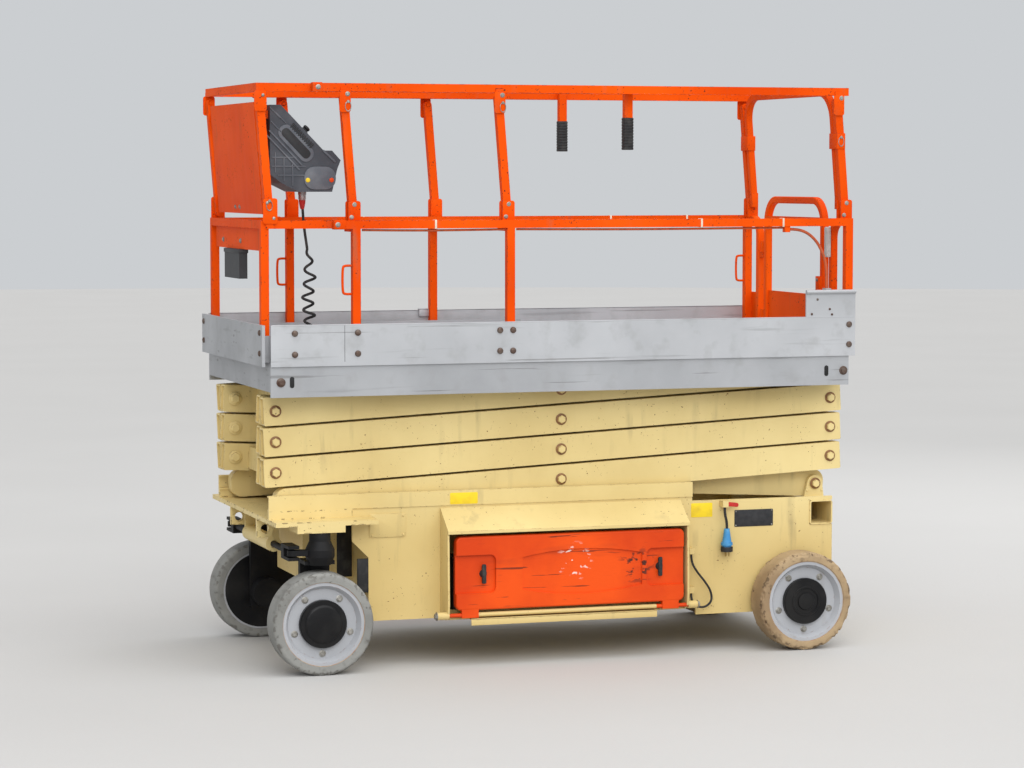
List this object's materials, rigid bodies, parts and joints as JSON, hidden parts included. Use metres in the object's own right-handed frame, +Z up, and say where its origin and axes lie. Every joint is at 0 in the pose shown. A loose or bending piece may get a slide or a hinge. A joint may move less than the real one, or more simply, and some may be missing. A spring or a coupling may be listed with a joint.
{
  "type": "scissor lift",
  "caption": "Electric slab scissor lift: wheeled chassis, stacked scissor arms and a railed platform with a sliding deck extension, entry gate and upper control box.",
  "frame": {"origin": "on the floor under the middle of the machine", "axes": "+X towards the steered end with the control box, +Y to its left, +Z up"},
  "size_m": [2.5013, 1.17, 2.31],
  "materials": {
    "cream_paint": "semi-gloss",
    "orange_paint": "semi-gloss",
    "orange_moulding": "satin",
    "bare_aluminium": "weathered",
    "black_iron": "matte",
    "rim_paint": "satin",
    "grey_tyre": "matte",
    "tan_tyre": "matte",
    "chrome_rod": "polished",
    "slate_plastic": "matte",
    "black_cord": "matte",
    "blue_plug": "satin",
    "battery_case": "matte"
  },
  "bodies": {
    "chassis": {"chassis_frame": "cream_paint", "slide_channels": "cream_paint", "front_beam": "cream_paint", "rear_cross_tube": "cream_paint", "rear_steps": "cream_paint", "left_bay": "cream_paint", "right_bay": "cream_paint", "battery_packs": "battery_case", "charger_lead": "black_cord", "charger_plug": "blue_plug", "loop_cable": "black_cord"},
    "door_left": {"left_door": "orange_moulding"},
    "door_right": {"right_door": "orange_moulding"},
    "knuckle_left": {"left_knuckle": "black_iron"},
    "knuckle_right": {"right_knuckle": "black_iron"},
    "steering_rod": {"steer_tie_bar": "chrome_rod"},
    "lift_cylinder_barrel": {"lift_barrel": "cream_paint"},
    "lift_cylinder_rod": {"lift_rod": "chrome_rod"},
    "platform": {"main_deck": "bare_aluminium", "toe_boards": "bare_aluminium", "left_guard_rail": "orange_paint", "right_guard_rail": "orange_paint", "rear_jambs": "orange_paint", "cable_cover": "bare_aluminium", "platform_cable": "black_cord"},
    "gate": {"entry_gate": "orange_paint"},
    "front_posts": {"front_upper_posts": "orange_paint"},
    "mid_posts": {"mid_upper_posts": "orange_paint"},
    "rear_posts": {"rear_upper_posts": "orange_paint"},
    "top_rail_pair": {"top_rails": "orange_paint"},
    "extension": {"extension_deck": "bare_aluminium", "extension_frame": "orange_paint", "lower_panel": "orange_paint", "manual_box": "slate_plastic", "curly_cord": "black_cord"},
    "extension_upper": {"extension_posts": "orange_paint", "extension_panel": "orange_paint", "control_box": "slate_plastic"},
    "extension_top": {"extension_top_rail": "orange_paint"},
    "inner_1": {"inner_arms_1": "cream_paint"},
    "outer_1": {"outer_arms_1": "cream_paint"},
    "inner_2": {"inner_arms_2": "cream_paint"},
    "outer_2": {"outer_arms_2": "cream_paint"},
    "inner_3": {"inner_arms_3": "cream_paint"},
    "outer_3": {"outer_arms_3": "cream_paint"},
    "inner_4": {"inner_arms_4": "cream_paint"},
    "outer_4": {"outer_arms_4": "cream_paint"},
    "front_left_wheel": {"front_left_rim": "rim_paint", "front_left_tyre": "grey_tyre"},
    "front_right_wheel": {"front_right_rim": "rim_paint", "front_right_tyre": "grey_tyre"},
    "rear_left_wheel": {"rear_left_rim": "rim_paint", "rear_left_tyre": "tan_tyre"},
    "rear_right_wheel": {"rear_right_rim": "rim_paint", "rear_right_tyre": "tan_tyre"}
  },
  "joints": [
    {"name": "lift", "type": "hinge", "parent": "chassis", "child": "inner_1", "pos_m": [-1.15601, 0, 0.667], "axis": [0, -1, 0], "range_deg": [0, 46.8]},
    {"name": "cross_1", "type": "hinge", "parent": "inner_1", "child": "outer_1", "pos_m": [-0.0165, 0, 0.72532], "axis": [0, 1, 0], "range_deg": [0, 93.7]},
    {"name": "rear_pin_1", "type": "hinge", "parent": "outer_1", "child": "inner_2", "pos_m": [-1.20195, 0, 0.786], "axis": [0, -1, 0], "range_deg": [0, 93.7]},
    {"name": "cross_2", "type": "hinge", "parent": "inner_2", "child": "outer_2", "pos_m": [-0.0165, 0, 0.84667], "axis": [0, 1, 0], "range_deg": [0, 93.7]},
    {"name": "rear_pin_2", "type": "hinge", "parent": "outer_2", "child": "inner_3", "pos_m": [-1.20195, 0, 0.90735], "axis": [0, -1, 0], "range_deg": [0, 93.7]},
    {"name": "cross_3", "type": "hinge", "parent": "inner_3", "child": "outer_3", "pos_m": [-0.0165, 0, 0.96802], "axis": [0, 1, 0], "range_deg": [0, 93.7]},
    {"name": "rear_pin_3", "type": "hinge", "parent": "outer_3", "child": "inner_4", "pos_m": [-1.20195, 0, 1.0287], "axis": [0, -1, 0], "range_deg": [0, 93.7]},
    {"name": "cross_4", "type": "hinge", "parent": "inner_4", "child": "outer_4", "pos_m": [-0.0165, 0, 1.08937], "axis": [0, 1, 0], "range_deg": [0, 93.7]},
    {"name": "platform_level", "type": "hinge", "parent": "outer_4", "child": "platform", "pos_m": [-1.15601, 0, 1.1477], "axis": [0, -1, 0], "range_deg": [0, 46.9]},
    {"name": "cylinder_foot", "type": "hinge", "parent": "inner_1", "child": "lift_cylinder_barrel", "pos_m": [0.93226, 0, 0.77388], "axis": [0, 1, 0], "range_deg": [0, 103.14]},
    {"name": "cylinder_rod", "type": "slide", "parent": "lift_cylinder_barrel", "child": "lift_cylinder_rod", "axis": [-0.9971, 0, 0.0765], "range_m": [0, 0.594]},
    {"name": "extension_slide", "type": "slide", "parent": "platform", "child": "extension", "axis": [1, 0, 0], "range_m": [0, 1.27]},
    {"name": "rail_fold", "type": "hinge", "parent": "platform", "child": "rear_posts", "pos_m": [-1.22495, 0, 1.797], "axis": [0, 1, 0], "range_deg": [-90, 0]},
    {"name": "mid_post_fold", "type": "hinge", "parent": "platform", "child": "mid_posts", "pos_m": [0.23895, 0, 1.797], "axis": [0, 1, 0], "range_deg": [-90, 0]},
    {"name": "front_post_fold", "type": "hinge", "parent": "platform", "child": "front_posts", "pos_m": [0.87195, 0, 1.797], "axis": [0, 1, 0], "range_deg": [-90, 0]},
    {"name": "top_rail_level", "type": "hinge", "parent": "rear_posts", "child": "top_rail_pair", "pos_m": [-1.18895, 0, 2.252], "axis": [0, 1, 0], "range_deg": [0, 90]},
    {"name": "extension_fold", "type": "hinge", "parent": "extension", "child": "extension_upper", "pos_m": [1.19595, 0, 1.797], "axis": [0, 1, 0], "range_deg": [-90, 0], "deforming": ["curly_cord"]},
    {"name": "extension_top_level", "type": "hinge", "parent": "extension_upper", "child": "extension_top", "pos_m": [1.23195, 0, 2.252], "axis": [0, 1, 0], "range_deg": [0, 90]},
    {"name": "gate_swing", "type": "hinge", "parent": "platform", "child": "gate", "pos_m": [-1.22495, -0.345, 1.5], "axis": [0, 0, -1], "range_deg": [0, 90]},
    {"name": "left_door_drop", "type": "hinge", "parent": "chassis", "child": "door_left", "pos_m": [0, 0.538, 0.206], "axis": [-1, 0, 0], "range_deg": [0, 90]},
    {"name": "right_door_drop", "type": "hinge", "parent": "chassis", "child": "door_right", "pos_m": [0, -0.538, 0.206], "axis": [1, 0, 0], "range_deg": [0, 90]},
    {"name": "steer_left", "type": "hinge", "parent": "chassis", "child": "knuckle_left", "pos_m": [1.01801, 0.5225, 0.5], "axis": [0, 0, 1], "range_deg": [-45, 45]},
    {"name": "steer_right", "type": "hinge", "parent": "chassis", "child": "knuckle_right", "pos_m": [1.01801, -0.5225, 0.5], "axis": [0, 0, 1], "range_deg": [-45, 45]},
    {"name": "steer_rod_slide", "type": "slide", "parent": "chassis", "child": "steering_rod", "axis": [0, 1, 0], "range_m": [-0.08, 0.08]},
    {"name": "front_left_spin", "type": "hinge", "parent": "knuckle_left", "child": "front_left_wheel", "pos_m": [1.01801, 0.5225, 0.202], "axis": [0, 1, 0], "continuous": true},
    {"name": "front_right_spin", "type": "hinge", "parent": "knuckle_right", "child": "front_right_wheel", "pos_m": [1.01801, -0.5225, 0.202], "axis": [0, 1, 0], "continuous": true},
    {"name": "rear_left_spin", "type": "hinge", "parent": "chassis", "child": "rear_left_wheel", "pos_m": [-1.03001, 0.5225, 0.202], "axis": [0, 1, 0], "continuous": true},
    {"name": "rear_right_spin", "type": "hinge", "parent": "chassis", "child": "rear_right_wheel", "pos_m": [-1.03001, -0.5225, 0.202], "axis": [0, 1, 0], "continuous": true}
  ],
  "couplings": [
    {"joint": "cross_1", "follows": "lift", "ratio": 2},
    {"joint": "rear_pin_1", "follows": "lift", "ratio": 2},
    {"joint": "cross_2", "follows": "lift", "ratio": 2},
    {"joint": "rear_pin_2", "follows": "lift", "ratio": 2},
    {"joint": "cross_3", "follows": "lift", "ratio": 2},
    {"joint": "rear_pin_3", "follows": "lift", "ratio": 2},
    {"joint": "cross_4", "follows": "lift", "ratio": 2},
    {"joint": "platform_level", "follows": "lift", "ratio": 1},
    {"joint": "cylinder_foot", "follows": "lift", "ratio": 2.1995},
    {"joint": "cylinder_rod", "follows": "lift", "m_per_rad": 0.72599},
    {"joint": "mid_post_fold", "follows": "rail_fold", "ratio": 1},
    {"joint": "front_post_fold", "follows": "rail_fold", "ratio": 1},
    {"joint": "top_rail_level", "follows": "rail_fold", "ratio": -1},
    {"joint": "extension_fold", "follows": "rail_fold", "ratio": 1},
    {"joint": "extension_top_level", "follows": "rail_fold", "ratio": -1},
    {"joint": "steer_right", "follows": "steer_left", "ratio": 1},
    {"joint": "steer_rod_slide", "follows": "steer_left", "m_per_rad": 0.09903}
  ]
}
